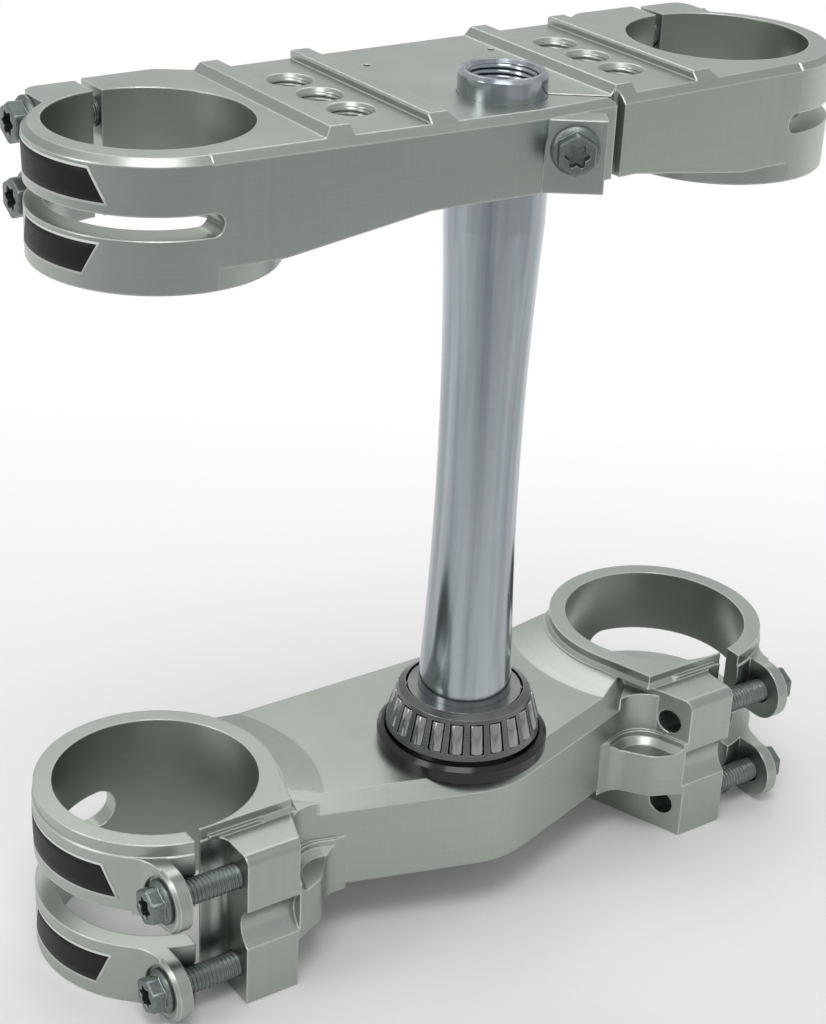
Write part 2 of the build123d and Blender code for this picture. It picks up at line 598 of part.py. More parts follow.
def bearing_inner_race():
    """Inner race with a rib at each end of its conical running face."""
    bore = JOURNAL_R + PRESS
    return turned([(bore, SEAL_PLATE_TOP), (RACE_FLANGE_R, SEAL_PLATE_TOP), (RACE_FLANGE_R, RACE_FLANGE_TOP),
                   (race_r(RACE_FLANGE_TOP), RACE_FLANGE_TOP), (race_r(RACE_RIB_LOW), RACE_RIB_LOW),
                   (RACE_RIB_R, RACE_RIB_LOW), (RACE_RIB_R, RACE_TOP), (bore, RACE_TOP)])


def roller(turn, sides, spare_r, spare_length):
    """Tapered roller whose sides all point at the bearing's apex."""
    middle = (APEX_Z - ROLLER_MID_Z) / cos(radians(ROLLER_TILT))
    spread = tan(radians(ROLLER_HALF_ANGLE))
    half = ROLLER_LENGTH / 2 + spare_length
    ends = []
    for distance in (middle + half, middle - half):
        outline = RegularPolygon(distance * spread + spare_r, sides)
        ends.append(Plane.XY.offset(-distance) * outline)
    return Pos(0, 0, APEX_Z) * Rot(0, 0, turn) * Rot(0, -ROLLER_TILT, 0) * loft(ends, ruled=True)


def bearing_cage():
    """Pressed cage with one flat sided window for each roller and its small end rolled inward."""
    lip_top = CAGE_TOP + CAGE_LIP_RISE
    wall = turned([(CAGE_BOTTOM_R, CAGE_BOTTOM), (CAGE_TOP_R, CAGE_TOP), (CAGE_LIP_R, lip_top),
                   (CAGE_LIP_R, lip_top - CAGE_WALL), (CAGE_TOP_R - CAGE_WALL, CAGE_TOP - CAGE_WALL),
                   (CAGE_BOTTOM_R - CAGE_WALL, CAGE_BOTTOM)])
    for number in range(ROLLER_COUNT):
        wall -= roller(number * ROLLER_STEP, WINDOW_SIDES, WINDOW_SPARE, CAGE_CLEARANCE)
    return wall


def build():
    """Every piece by the name it is filed under."""
    parts = {
        "upper_clamp": upper_clamp(),
        "lower_clamp": lower_clamp(),
        "steering_stem": steering_stem(),
        "bearing_seal": bearing_seal(),
        "bearing_inner_race": bearing_inner_race(),
        "bearing_cage": bearing_cage(),
    }
    for number in range(ROLLER_COUNT):
        turn = number * ROLLER_STEP
        parts[f"bearing_roller_{number + 1:02d}"] = roller(turn, ROLLER_SIDES, -RUNNING, 0)
    for side, way in (("left", -1), ("right", 1)):
        for level, height in zip(("bottom", "top"), EAR_HEIGHTS):
            seat = (way * EAR_SEAT_X, EAR_Y, height)
            parts[f"lower_{side}_pinch_screw_{level}"] = screw_at(seat, (way, 0, 0), LOWER_SCREW)
        for level, height in zip(("bottom", "top"), UPPER_BOLT_HEIGHTS):
            seat = (way * LUG_OUTER_X, UPPER_BOLT_Y, height)
            parts[f"upper_{side}_pinch_screw_{level}"] = screw_at(seat, (way, 0, 0), UPPER_SCREW)
    frame = stem_bolt_plane()
    seat = frame.origin + frame.z_dir * STEM_BOLT_SEAT
    parts["stem_pinch_screw"] = screw_at(seat, frame.z_dir * -1, STEM_SCREW)
    return parts


os.makedirs("parts", exist_ok=True)
for name, shape in build().items():
    export_step(shape, f"parts/{name}.step")
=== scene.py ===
import math

import bmesh
import bpy
from mathutils import Matrix, Vector


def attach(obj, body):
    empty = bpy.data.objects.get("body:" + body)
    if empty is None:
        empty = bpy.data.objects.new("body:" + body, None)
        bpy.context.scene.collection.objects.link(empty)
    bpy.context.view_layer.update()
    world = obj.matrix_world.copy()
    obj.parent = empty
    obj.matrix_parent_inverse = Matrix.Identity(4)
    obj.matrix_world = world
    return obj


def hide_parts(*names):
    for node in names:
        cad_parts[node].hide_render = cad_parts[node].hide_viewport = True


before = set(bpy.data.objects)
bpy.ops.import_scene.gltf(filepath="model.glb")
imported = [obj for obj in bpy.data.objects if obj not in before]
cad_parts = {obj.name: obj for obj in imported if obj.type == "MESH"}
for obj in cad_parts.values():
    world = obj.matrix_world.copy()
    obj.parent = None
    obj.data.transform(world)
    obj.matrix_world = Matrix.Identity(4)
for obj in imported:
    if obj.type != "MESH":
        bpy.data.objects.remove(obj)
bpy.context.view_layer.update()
MM = 0.001
FULL_TURN = 2 * math.pi
ROOT = "clamp"

# Places and sizes taken over from the solids, in millimetres
FORK_X = 94.5
FORK_Y = 21.0
LOWER_RING_R = 35.75
LOWER_BOTTOM = -18.0
EAR_SEAT_X = 113.0
EAR_Y = -17.2
EAR_HEIGHTS = (-8.4, 22.4)
LUG_OUTER_X = 112.5
UPPER_BOLT_Y = 53.0
UPPER_BOLT_HEIGHTS = (205.0, 225.2)
UPPER_RING_Y = 18.5
UPPER_RING_R = 33.0
UPPER_TOP = 232.3
BAR_HOLE_X = 44.73
BAR_HOLE_Y = 19.85
BAR_HOLE_PITCH = 15.0
BAR_HOLE_R = 5.5
BAR_HOLES = [(side * BAR_HOLE_X, BAR_HOLE_Y + row * BAR_HOLE_PITCH)
             for side in (-1, 1) for row in (-1, 0, 1)]
STEM_TOP = 238.8
STEM_THREAD_R = 9.25
SPLIT_ANGLE = math.radians(-33.0)
STEM_BOLT_ACROSS = 19.0
STEM_BOLT_ALONG = -15.5
STEM_BOLT_Z = 222.0
APEX_Z = 123.5
ROLLER_COUNT = 22
ROLLER_Z = 42.0
ROLLER_TILT = math.radians(13.73)
ROLLER_HALF_ANGLE = math.radians(1.67)

# Screws, in millimetres, each pair ending in a height above the seat
LOWER_SCREW_LENGTH = 35.0
UPPER_SCREW_LENGTH = 30.0
STEM_SCREW_LENGTH = 25.0
FLANGE_PROFILE = [(3.9, 0.0), (6.35, 0.0), (6.62, 0.25), (6.62, 0.95), (6.3, 1.35), (5.2, 2.05), (4.2, 2.1)]
HEXAGON_FLAT_R = 4.95
HEXAGON_CORNER_R = 5.55
HEXAGON_INSETS = ((0.0, 1.2), (0.0, 5.35), (0.25, 5.75), (0.75, 6.0))
STAR_R = 2.9
STAR_LOBE = 0.48
STAR_LOBES = 6
STAR_SCALES = ((1.08, 6.0), (1.0, 5.85), (1.0, 2.8))
STAR_FLOOR = 2.3
CORE_R = 3.35
CORE_TOP = 0.6
CORE_CHAMFER = 0.5
NECK_PROFILE = [(3.9, 0.02), (3.9, -1.6), (CORE_R, -2.2)]
SCREW_THREAD_DEPTH = 0.55
SCREW_THREAD_TOP = -2.0
SCREW_THREAD_END_GAP = 0.6

# Threads, in millimetres
FINE_PITCH = 1.25
STEM_PITCH = 1.5
STEM_THREAD_DEPTH = 0.55
BAR_THREAD_DEPTH = 0.5
STEM_THREAD_BOTTOM = 215.5
BAR_THREAD_BOTTOM = 214.0
THREAD_TOP_GAP = 1.2
CORE_OVERLAP = 0.02
WALL_OVERLAP = 0.01

# Rollers, in millimetres
ROLLER_HALF_LENGTH = 4.5
ROLLER_PLAY = 0.05
ROLLER_EDGE = 0.35
ROLLER_CORNER = 0.1

# Labels, in millimetres
LABEL_REACH = 0.12
LABEL_THICKNESS = 0.1

# Steps of what is turned or bent
HEAD_STEPS = 96
HEAD_ANGLES = [FULL_TURN * step / HEAD_STEPS for step in range(HEAD_STEPS)]
FLANGE_STEPS = 48
SHANK_STEPS = 24
STEM_THREAD_STEPS = 48
BAR_THREAD_STEPS = 28
ROLLER_STEPS = 28
LABEL_COLUMNS = 24
LABEL_ROWS = 4

# Camera at the photograph's angle, in metres, with the focal length and the photograph's height in pixels
AZIMUTH = math.radians(-35.701)
ELEVATION = math.radians(26.672)
ROLL = math.radians(2.845)
DISTANCE = 0.623346
TARGET = Vector((-0.02231, 0.0, 0.112877))
FOCAL_PIXELS = 2187.314
PHOTO_HEIGHT = 1024.0
SENSOR = 36.0

# Floor, in metres from the stem's axis, the ranges along the camera's view
FLOOR_NEAR = -3.0
FLOOR_FAR = 4.0
FLOOR_SIDE = 4.0
FLOOR_GAP = 0.0002
# The floor's painted shade towards the camera spans this range
PAINTED_SHADE_RANGE = (-0.40, -0.06)
WHITE_RANGE = (0.04, 0.34)

# Range that most values of a noise texture fall in
NOISE_RANGE = (0.3, 0.7)

# Colours
ALUMINIUM_DARK = (0.35, 0.385, 0.35)
ALUMINIUM_LIGHT = (0.40, 0.435, 0.40)
ALUMINIUM_MARK = (0.445, 0.48, 0.445)
ALUMINIUM_GRAIN = (0.50, 0.53, 0.50)
# Near-white painted highlight along the clamps' edges
ALUMINIUM_PAINTED_HIGHLIGHT = (0.92, 0.94, 0.88)
STEM_DARK = (0.46, 0.505, 0.53)
STEM_LIGHT = (0.53, 0.57, 0.59)
# Dark painted reflection streaking along the stem
STEM_PAINTED_REFLECTION = (0.25, 0.29, 0.32)
STEM_MARK = (0.34, 0.38, 0.40)
RUBBER_DARK = (0.004, 0.004, 0.004)
RUBBER_LIGHT = (0.010, 0.010, 0.010)
RACE_DARK = (0.24, 0.25, 0.24)
RACE_LIGHT = (0.34, 0.35, 0.34)
ROLLER_DARK = (0.30, 0.31, 0.30)
ROLLER_LIGHT = (0.40, 0.41, 0.40)
CAGE_DARK = (0.13, 0.138, 0.134)
CAGE_LIGHT = (0.23, 0.24, 0.235)
# Pale painted highlight along the bearing parts' edges
BEARING_PAINTED_HIGHLIGHT = (0.62, 0.63, 0.62)
ZINC_DARK = (0.17, 0.205, 0.20)
ZINC_LIGHT = (0.25, 0.285, 0.275)
ZINC_SPOT = (0.11, 0.13, 0.125)
# Pale painted highlight along the screws' edges
ZINC_PAINTED_HIGHLIGHT = (0.45, 0.49, 0.47)
VINYL_DARK = (0.004, 0.004, 0.004)
VINYL_LIGHT = (0.009, 0.009, 0.009)
VINYL_BORDER = (0.62, 0.64, 0.61)
PAPER_DARK = (0.84, 0.84, 0.835)
PAPER_LIGHT = (0.86, 0.86, 0.855)
# Grey of the floor's painted shade in front of the object
PAPER_PAINTED_SHADE = (0.480, 0.485, 0.490)
WORLD_GREY = (0.620, 0.626, 0.626, 1)


# Material helpers
def new_material(name):
    """Empty node material with its output and a principled shader."""
    material = bpy.data.materials.new(name)
    material.use_nodes = True
    tree = material.node_tree
    tree.nodes.clear()
    output = tree.nodes.new("ShaderNodeOutputMaterial")
    shader = tree.nodes.new("ShaderNodeBsdfPrincipled")
    tree.links.new(shader.outputs["BSDF"], output.inputs["Surface"])
    return material, tree, shader


def add(tree, kind, **values):
    """Node of a kind, with sockets or settings given by name."""
    node = tree.nodes.new("ShaderNode" + kind)
    for name, value in values.items():
        socket = name.replace("_", " ")
        if socket in node.inputs:
            node.inputs[socket].default_value = value
        else:
            setattr(node, name, value)
    return node


def link(tree, start, end):
    tree.links.new(start, end)


def position(tree, scale=(1, 1, 1)):
    """Object coordinates in metres, stretched by scale."""
    coordinates = add(tree, "TexCoord")
    mapping = add(tree, "Mapping", Scale=scale)
    link(tree, coordinates.outputs["Object"], mapping.inputs["Vector"])
    return mapping.outputs["Vector"]


def separate(tree, vector):
    """The X and Y of a vector."""
    parts = add(tree, "SeparateXYZ")
    link(tree, vector, parts.inputs["Vector"])
    return parts.outputs["X"], parts.outputs["Y"]


def noise(tree, vector, scale=1.0, detail=3.0, rough=0.5):
    node = add(tree, "TexNoise", Scale=scale, Detail=detail, Roughness=rough)
    link(tree, vector, node.inputs["Vector"])
    return node.outputs["Fac"]


def spread(tree, value, source, result):
    """Maps one range of a value to another."""
    node = add(tree, "MapRange", From_Min=source[0], From_Max=source[1], To_Min=result[0], To_Max=result[1])
    link(tree, value, node.inputs["Value"])
    return node.outputs["Result"]


def blend_colours(tree, factor, first, second):
    """Mix of two colours, each a triple or a socket."""
    node = add(tree, "Mix", data_type="RGBA")
    colour_sockets = [socket for socket in node.inputs if socket.type == "RGBA"]
    for socket, colour in zip(colour_sockets, (first, second)):
        if isinstance(colour, tuple):
            socket.default_value = (*colour, 1)
        else:
            link(tree, colour, socket)
    link(tree, factor, node.inputs[0])
    return [socket for socket in node.outputs if socket.type == "RGBA"][0]


def arithmetic(tree, operation, *values):
    """Result of a sum, a product or the like of numbers and sockets."""
    node = add(tree, "Math", operation=operation)
    for socket, value in zip(node.inputs, values):
        if isinstance(value, (int, float)):
            socket.default_value = value
        else:
            link(tree, value, socket)
    return node.outputs["Value"]


def rounded_normal(tree, radius):
    """Normal rounded along the edges by a radius in millimetres."""
    bevel = add(tree, "Bevel", samples=4, Radius=radius * MM)
    return bevel.outputs["Normal"]


def edge_mask(tree, rounded, inner=0.995, outer=0.86):
    """0 on open faces and 1 close to an edge, from how far the rounded normal turns away."""
    geometry = add(tree, "NewGeometry")
    dot = add(tree, "VectorMath", operation="DOT_PRODUCT")
    link(tree, rounded, dot.inputs[0])
    link(tree, geometry.outputs["Normal"], dot.inputs[1])
    return spread(tree, dot.outputs["Value"], (inner, outer), (0.0, 1.0))


def bump(tree, height, strength, micrometres, normal=None):
    """Normal with a relief as deep as the micrometres say."""
    node = add(tree, "Bump", Strength=strength, Distance=micrometres * MM * MM)
    link(tree, height, node.inputs["Height"])
    if normal is not None:
        link(tree, normal, node.inputs["Normal"])
    return node.outputs["Normal"]


def cutter_rings(tree, where, rings_per_metre=1500.0):
    """Fine rings round both fork axes, as an end mill leaves them."""
    x, y = separate(tree, where)
    across = arithmetic(tree, "SUBTRACT", arithmetic(tree, "ABSOLUTE", x), FORK_X * MM)
    along = arithmetic(tree, "SUBTRACT", y, FORK_Y * MM)
    across_square = arithmetic(tree, "MULTIPLY", across, across)
    along_square = arithmetic(tree, "MULTIPLY", along, along)
    radius = arithmetic(tree, "SQRT", arithmetic(tree, "ADD", across_square, along_square))
    place = add(tree, "CombineXYZ")
    link(tree, arithmetic(tree, "MULTIPLY", radius, rings_per_metre), place.inputs["X"])
    return noise(tree, place.outputs["Vector"], rough=0.6)


# Materials
def clamp_metal():
    """Blasted and clear anodised aluminium, with a painted highlight along its edges."""
    material, tree, shader = new_material("blasted_aluminium")
    where = position(tree)
    grain = noise(tree, where, scale=5200.0, detail=2.0, rough=0.6)
    cloud = noise(tree, where, scale=34.0, rough=0.55)
    brushed = noise(tree, position(tree, (26.0, 26.0, 2400.0)), rough=0.6)
    turned = cutter_rings(tree, where)
    rounded = rounded_normal(tree, 0.7)
    marks = arithmetic(tree, "MULTIPLY", arithmetic(tree, "ADD", brushed, turned), 0.5)
    mark_share = spread(tree, marks, (0.35, 0.65), (0.0, 0.6))
    grain_share = spread(tree, grain, (0.35, 0.75), (0.0, 0.4))
    # Near-white colour close to every edge: a painted highlight
    painted_highlight_share = spread(tree, edge_mask(tree, rounded, inner=0.997), (0.0, 1.0), (0.0, 0.9))
    colour = blend_colours(tree, cloud, ALUMINIUM_DARK, ALUMINIUM_LIGHT)
    colour = blend_colours(tree, mark_share, colour, ALUMINIUM_MARK)
    colour = blend_colours(tree, grain_share, colour, ALUMINIUM_GRAIN)
    colour = blend_colours(tree, painted_highlight_share, colour, ALUMINIUM_PAINTED_HIGHLIGHT)
    link(tree, colour, shader.inputs["Base Color"])
    shader.inputs["Metallic"].default_value = 1.0
    cloud_rough = spread(tree, cloud, NOISE_RANGE, (0.30, 0.37))
    grain_rough = spread(tree, grain, NOISE_RANGE, (-0.03, 0.03))
    link(tree, arithmetic(tree, "ADD", cloud_rough, grain_rough), shader.inputs["Roughness"])
    relief = arithmetic(tree, "ADD", grain, arithmetic(tree, "MULTIPLY", brushed, 0.8))
    relief = arithmetic(tree, "ADD", relief, arithmetic(tree, "MULTIPLY", turned, 0.7))
    normal = bump(tree, relief, strength=0.16, micrometres=60.0, normal=rounded)
    link(tree, normal, shader.inputs["Normal"])
    return material


def stem_metal():
    """Ground and polished steel with fine marks around it and dark streaks along it, which are a painted
    reflection.
    """
    material, tree, shader = new_material("polished_steel")
    ground = noise(tree, position(tree, (6.0, 6.0, 5200.0)), rough=0.6)
    cloud = noise(tree, position(tree), scale=60.0)
    streaks = noise(tree, position(tree, (170.0, 170.0, 3.0)), rough=0.55)
    # Dark streaks along the stem: a painted reflection
    painted_reflection_share = spread(tree, streaks, (0.42, 0.62), (0.0, 0.75))
    mark_share = spread(tree, ground, (0.35, 0.7), (0.0, 0.3))
    colour = blend_colours(tree, cloud, STEM_DARK, STEM_LIGHT)
    colour = blend_colours(tree, painted_reflection_share, colour, STEM_PAINTED_REFLECTION)
    colour = blend_colours(tree, mark_share, colour, STEM_MARK)
    link(tree, colour, shader.inputs["Base Color"])
    shader.inputs["Metallic"].default_value = 1.0
    link(tree, spread(tree, ground, NOISE_RANGE, (0.13, 0.20)), shader.inputs["Roughness"])
    normal = bump(tree, ground, strength=0.10, micrometres=30.0, normal=rounded_normal(tree, 0.4))
    link(tree, normal, shader.inputs["Normal"])
    return material


def seal_rubber():
    """Black rubber of the dust seal."""
    material, tree, shader = new_material("black_seal")
    cloud = noise(tree, position(tree), scale=240.0)
    link(tree, blend_colours(tree, cloud, RUBBER_DARK, RUBBER_LIGHT), shader.inputs["Base Color"])
    link(tree, spread(tree, cloud, NOISE_RANGE, (0.12, 0.22)), shader.inputs["Roughness"])
    normal = bump(tree, cloud, strength=0.05, micrometres=100.0, normal=rounded_normal(tree, 0.3))
    link(tree, normal, shader.inputs["Normal"])
    return material


def bearing_steel(name, dark, light, roughness):
    """Oiled bearing steel with a painted highlight along its edges, its roughness a range."""
    material, tree, shader = new_material(name)
    cloud = noise(tree, position(tree), scale=180.0)
    ground = noise(tree, position(tree, (40.0, 40.0, 4000.0)), detail=2.0)
    rounded = rounded_normal(tree, 0.2)
    colour = blend_colours(tree, cloud, dark, light)
    # Pale colour close to every edge: a painted highlight
    colour = blend_colours(tree, edge_mask(tree, rounded), colour, BEARING_PAINTED_HIGHLIGHT)
    link(tree, colour, shader.inputs["Base Color"])
    shader.inputs["Metallic"].default_value = 1.0
    link(tree, spread(tree, ground, NOISE_RANGE, roughness), shader.inputs["Roughness"])
    normal = bump(tree, ground, strength=0.08, micrometres=30.0, normal=rounded)
    link(tree, normal, shader.inputs["Normal"])
    return material


def dull_zinc():
    """Dull zinc plating on the screws, with a painted highlight along their edges."""
    material, tree, shader = new_material("dull_zinc")
    where = position(tree)
    spots = noise(tree, where, scale=900.0, detail=4.0, rough=0.65)
    cloud = noise(tree, where, scale=160.0, detail=2.0)
    rounded = rounded_normal(tree, 0.25)
    spot_share = spread(tree, spots, (0.45, 0.7), (0.0, 0.6))
    colour = blend_colours(tree, cloud, ZINC_DARK, ZINC_LIGHT)
    colour = blend_colours(tree, spot_share, colour, ZINC_SPOT)
    # Pale colour close to every edge: a painted highlight
    colour = blend_colours(tree, edge_mask(tree, rounded), colour, ZINC_PAINTED_HIGHLIGHT)
    link(tree, colour, shader.inputs["Base Color"])
    shader.inputs["Metallic"].default_value = 1.0
    link(tree, spread(tree, spots, NOISE_RANGE, (0.34, 0.46)), shader.inputs["Roughness"])
    normal = bump(tree, spots, strength=0.2, micrometres=50.0, normal=rounded)
    link(tree, normal, shader.inputs["Normal"])
    return material


def label_vinyl(side_border=0.478, top_border=0.43):
    """Blank black label with a pale border, which starts at these shares from the middle."""
    material, tree, shader = new_material("blank_label")
    x, y = separate(tree, add(tree, "UVMap").outputs["UV"])
    across = arithmetic(tree, "ABSOLUTE", arithmetic(tree, "SUBTRACT", x, 0.5))
    up = arithmetic(tree, "ABSOLUTE", arithmetic(tree, "SUBTRACT", y, 0.5))
    side = arithmetic(tree, "GREATER_THAN", across, side_border)
    top = arithmetic(tree, "GREATER_THAN", up, top_border)
    border = arithmetic(tree, "MAXIMUM", side, top)
    grain = noise(tree, position(tree), scale=1400.0, detail=2.0)
    colour = blend_colours(tree, grain, VINYL_DARK, VINYL_LIGHT)
    colour = blend_colours(tree, border, colour, VINYL_BORDER)
    link(tree, colour, shader.inputs["Base Color"])
    shader.inputs["Specular IOR Level"].default_value = 0.25
    link(tree, spread(tree, grain, NOISE_RANGE, (0.42, 0.52)), shader.inputs["Roughness"])
    normal = bump(tree, grain, strength=0.08, micrometres=40.0)
    link(tree, normal, shader.inputs["Normal"])
    return material


CLAMP = clamp_metal()
STEM = stem_metal()
SEAL = seal_rubber()
RACE = bearing_steel("race_steel", RACE_DARK, RACE_LIGHT, (0.18, 0.30))
ROLLER = bearing_steel("roller_steel", ROLLER_DARK, ROLLER_LIGHT, (0.10, 0.18))
CAGE = bearing_steel("cage_steel", CAGE_DARK, CAGE_LIGHT, (0.24, 0.36))
ZINC = dull_zinc()
LABEL = label_vinyl()


# Mesh helpers
def shade(mesh, angle):
    """Smooth shading with sharp edges above an angle in degrees."""
    mesh.polygons.foreach_set("use_smooth", [True] * len(mesh.polygons))
    mesh.set_sharp_from_angle(angle=math.radians(angle))


def piece(name, mesh, material, smooth, body=ROOT):
    """Object on a mesh, shaded smooth below an angle, that rides on a body."""
    obj = bpy.data.objects.new(name, mesh)
    bpy.context.scene.collection.objects.link(obj)
    mesh.materials.clear()
    mesh.materials.append(material)
    shade(mesh, smooth)
    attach(obj, body)
    return obj


def point(work, radius, angle, height):
    """Mesh point round the Z axis, in millimetres."""
    return work.verts.new((radius * MM * math.cos(angle), radius * MM * math.sin(angle), height * MM))


def lathe(work, profile, steps):
    """Turned faces of a profile of radius and height, in millimetres, and the points of each step."""
    lines = []
    for step in range(steps):
        angle = FULL_TURN * step / steps
        lines.append([point(work, radius, angle, height) for radius, height in profile])
    for here, there in zip(lines, lines[1:] + lines[:1]):
        for row in range(len(profile) - 1):
            work.faces.new((here[row], there[row], there[row + 1], here[row + 1]))
    return lines


def helix(work, radius, depth, pitch, low, high, steps):
    """Thread of a V section wound round the axis between two heights, in millimetres.

    A positive depth stands out from the radius and a negative one stands in from it. The
    thread fades in and out over half a turn.
    """
    total = int((high - low) / pitch * steps)
    half_turn = steps * 0.5
    previous = None
    for number in range(total + 1):
        angle = FULL_TURN * number / steps
        height = low + pitch * number / steps
        fade = min(1.0, number / half_turn, (total - number) / half_turn)
        crest = radius + depth * fade
        section = []
        for reach, share in ((radius, -0.5), (crest, -0.1), (crest, 0.1), (radius, 0.5)):
            section.append(point(work, reach, angle, min(max(height + share * pitch, low), high)))
        if previous:
            for row in range(len(section) - 1):
                work.faces.new((previous[row], section[row], section[row + 1], previous[row + 1]))
        previous = section


def finish_mesh(work, name):
    """Mesh from the faces made so far, all facing outward."""
    mesh = bpy.data.meshes.new(name)
    bmesh.ops.recalc_face_normals(work, faces=work.faces)
    work.to_mesh(mesh)
    work.free()
    return mesh


# Clamps and other solids that keep their own shape
def dress(name, material, angle=32.0):
    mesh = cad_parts[name].data
    mesh.materials.clear()
    mesh.materials.append(material)
    shade(mesh, angle)


dress("upper_clamp", CLAMP)
dress("lower_clamp", CLAMP)
dress("steering_stem", STEM)
dress("bearing_seal", SEAL)
dress("bearing_inner_race", RACE)
dress("bearing_cage", CAGE)


# Screws
def hexagon_radius(angle):
    """Reach of a hexagon with its corners turned off."""
    sixth = FULL_TURN / 6
    from_flat = (angle + sixth / 2) % sixth - sixth / 2
    return min(HEXAGON_FLAT_R / math.cos(from_flat), HEXAGON_CORNER_R)


def star_radius(angle):
    """Reach of the lobed recess."""
    return STAR_R + STAR_LOBE * math.cos(STAR_LOBES * angle)


def head_ring(work, radii, height):
    """Ring of points on the screw's head, one radius for each angle."""
    return [point(work, radius, angle, height) for radius, angle in zip(radii, HEAD_ANGLES)]


def screw_mesh(name, length):
    """Flanged screw with a hexagon, a star recess and a threaded shank, seat at height 0."""
    work = bmesh.new()
    lathe(work, FLANGE_PROFILE, FLANGE_STEPS)
    rings = []
    for inset, height in HEXAGON_INSETS:
        rings.append(head_ring(work, [hexagon_radius(angle) - inset for angle in HEAD_ANGLES], height))
    for scale, height in STAR_SCALES:
        rings.append(head_ring(work, [scale * star_radius(angle) for angle in HEAD_ANGLES], height))
    for lower, upper in zip(rings, rings[1:]):
        for step in range(HEAD_STEPS):
            after = (step + 1) % HEAD_STEPS
            work.faces.new((lower[step], lower[after], upper[after], upper[step]))
    floor = work.verts.new((0, 0, STAR_FLOOR * MM))
    foot = rings[-1]
    for here, there in zip(foot, foot[1:] + foot[:1]):
        work.faces.new((here, there, floor))
    core_profile = [(CORE_R, CORE_TOP), (CORE_R, CORE_CHAMFER - length), (CORE_R - CORE_CHAMFER, -length)]
    core = lathe(work, core_profile, SHANK_STEPS)
    work.faces.new([line[-1] for line in core])
    helix(work, CORE_R - CORE_OVERLAP, SCREW_THREAD_DEPTH, FINE_PITCH,
          SCREW_THREAD_END_GAP - length, SCREW_THREAD_TOP, SHANK_STEPS)
    lathe(work, NECK_PROFILE, SHANK_STEPS)
    return finish_mesh(work, name)


def place_screw(node, length, seat, outward):
    """Screw in place of its solid, its head pointing outward from the seat in millimetres."""
    mesh = screw_mesh(node + "_mesh", length)
    turn = Vector(outward).normalized().to_track_quat("Z", "Y").to_matrix().to_4x4()
    mesh.transform(Matrix.Translation(Vector(seat) * MM) @ turn)
    obj = piece(node + "_finished", mesh, ZINC, smooth=30.0)
    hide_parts(node)


for side, way in (("left", -1), ("right", 1)):
    outward = (way, 0, 0)
    for level, height in zip(("bottom", "top"), EAR_HEIGHTS):
        seat = (way * EAR_SEAT_X, EAR_Y, height)
        place_screw(f"lower_{side}_pinch_screw_{level}", LOWER_SCREW_LENGTH, seat, outward)
    for level, height in zip(("bottom", "top"), UPPER_BOLT_HEIGHTS):
        seat = (way * LUG_OUTER_X, UPPER_BOLT_Y, height)
        place_screw(f"upper_{side}_pinch_screw_{level}", UPPER_SCREW_LENGTH, seat, outward)
across = Vector((math.cos(SPLIT_ANGLE), math.sin(SPLIT_ANGLE), 0))
along = Vector((-across.y, across.x, 0))
seat = across * STEM_BOLT_ACROSS + along * STEM_BOLT_ALONG + Vector((0, 0, STEM_BOLT_Z))
place_screw("stem_pinch_screw", STEM_SCREW_LENGTH, seat, -along)


# Threads inside the stem's top and the handlebar mount holes
def thread_mesh(name, place, radius, depth, pitch, low, high, steps):
    """Thread that stands inwards from a hole's wall."""
    work = bmesh.new()
    helix(work, radius - WALL_OVERLAP, -depth, pitch, low, high, steps)
    mesh = finish_mesh(work, name)
    mesh.transform(Matrix.Translation(Vector((*place, 0)) * MM))
    return mesh


stem_thread = thread_mesh("stem_top_thread", (0, 0), STEM_THREAD_R, STEM_THREAD_DEPTH, STEM_PITCH,
                          STEM_THREAD_BOTTOM, STEM_TOP - THREAD_TOP_GAP, STEM_THREAD_STEPS)
piece("stem_top_thread", stem_thread, STEM, smooth=50.0)
for number, place in enumerate(BAR_HOLES, 1):
    name = f"bar_hole_thread_{number}"
    bar_thread = thread_mesh(name, place, BAR_HOLE_R, BAR_THREAD_DEPTH, FINE_PITCH,
                             BAR_THREAD_BOTTOM, UPPER_TOP - THREAD_TOP_GAP, BAR_THREAD_STEPS)
    piece(name, bar_thread, CLAMP, smooth=50.0)


# Tapered rollers with rounded ends
def roller_profile():
    """Half section of a roller, its axis through the common apex at height 0."""
    middle = (ROLLER_Z - APEX_Z) / math.cos(ROLLER_TILT)
    slope = math.tan(ROLLER_HALF_ANGLE)
    low = middle - ROLLER_HALF_LENGTH
    high = middle + ROLLER_HALF_LENGTH
    big = -low * slope - ROLLER_PLAY
    small = -high * slope - ROLLER_PLAY
    return [
        (0.0, low),
        (big - ROLLER_EDGE, low),
        (big - ROLLER_CORNER, low + ROLLER_CORNER),
        (big, low + ROLLER_EDGE),
        (small, high - ROLLER_EDGE),
        (small - ROLLER_CORNER, high - ROLLER_CORNER),
        (small - ROLLER_EDGE, high),
        (0.0, high),
    ]


def place_roller(number):
    work = bmesh.new()
    lathe(work, roller_profile(), ROLLER_STEPS)
    bmesh.ops.remove_doubles(work, verts=work.verts, dist=1e-7)
    mesh = finish_mesh(work, f"roller_{number:02d}_mesh")
    around = Matrix.Rotation(FULL_TURN * (number - 1) / ROLLER_COUNT, 4, "Z")
    tilt = Matrix.Rotation(-ROLLER_TILT, 4, "Y")
    mesh.transform(Matrix.Translation((0, 0, APEX_Z * MM)) @ around @ tilt)
    node = f"bearing_roller_{number:02d}"
    obj = piece(f"roller_{number:02d}_finished", mesh, ROLLER, smooth=40.0, body=node)
    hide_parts(node)


for number in range(1, ROLLER_COUNT + 1):
    place_roller(number)


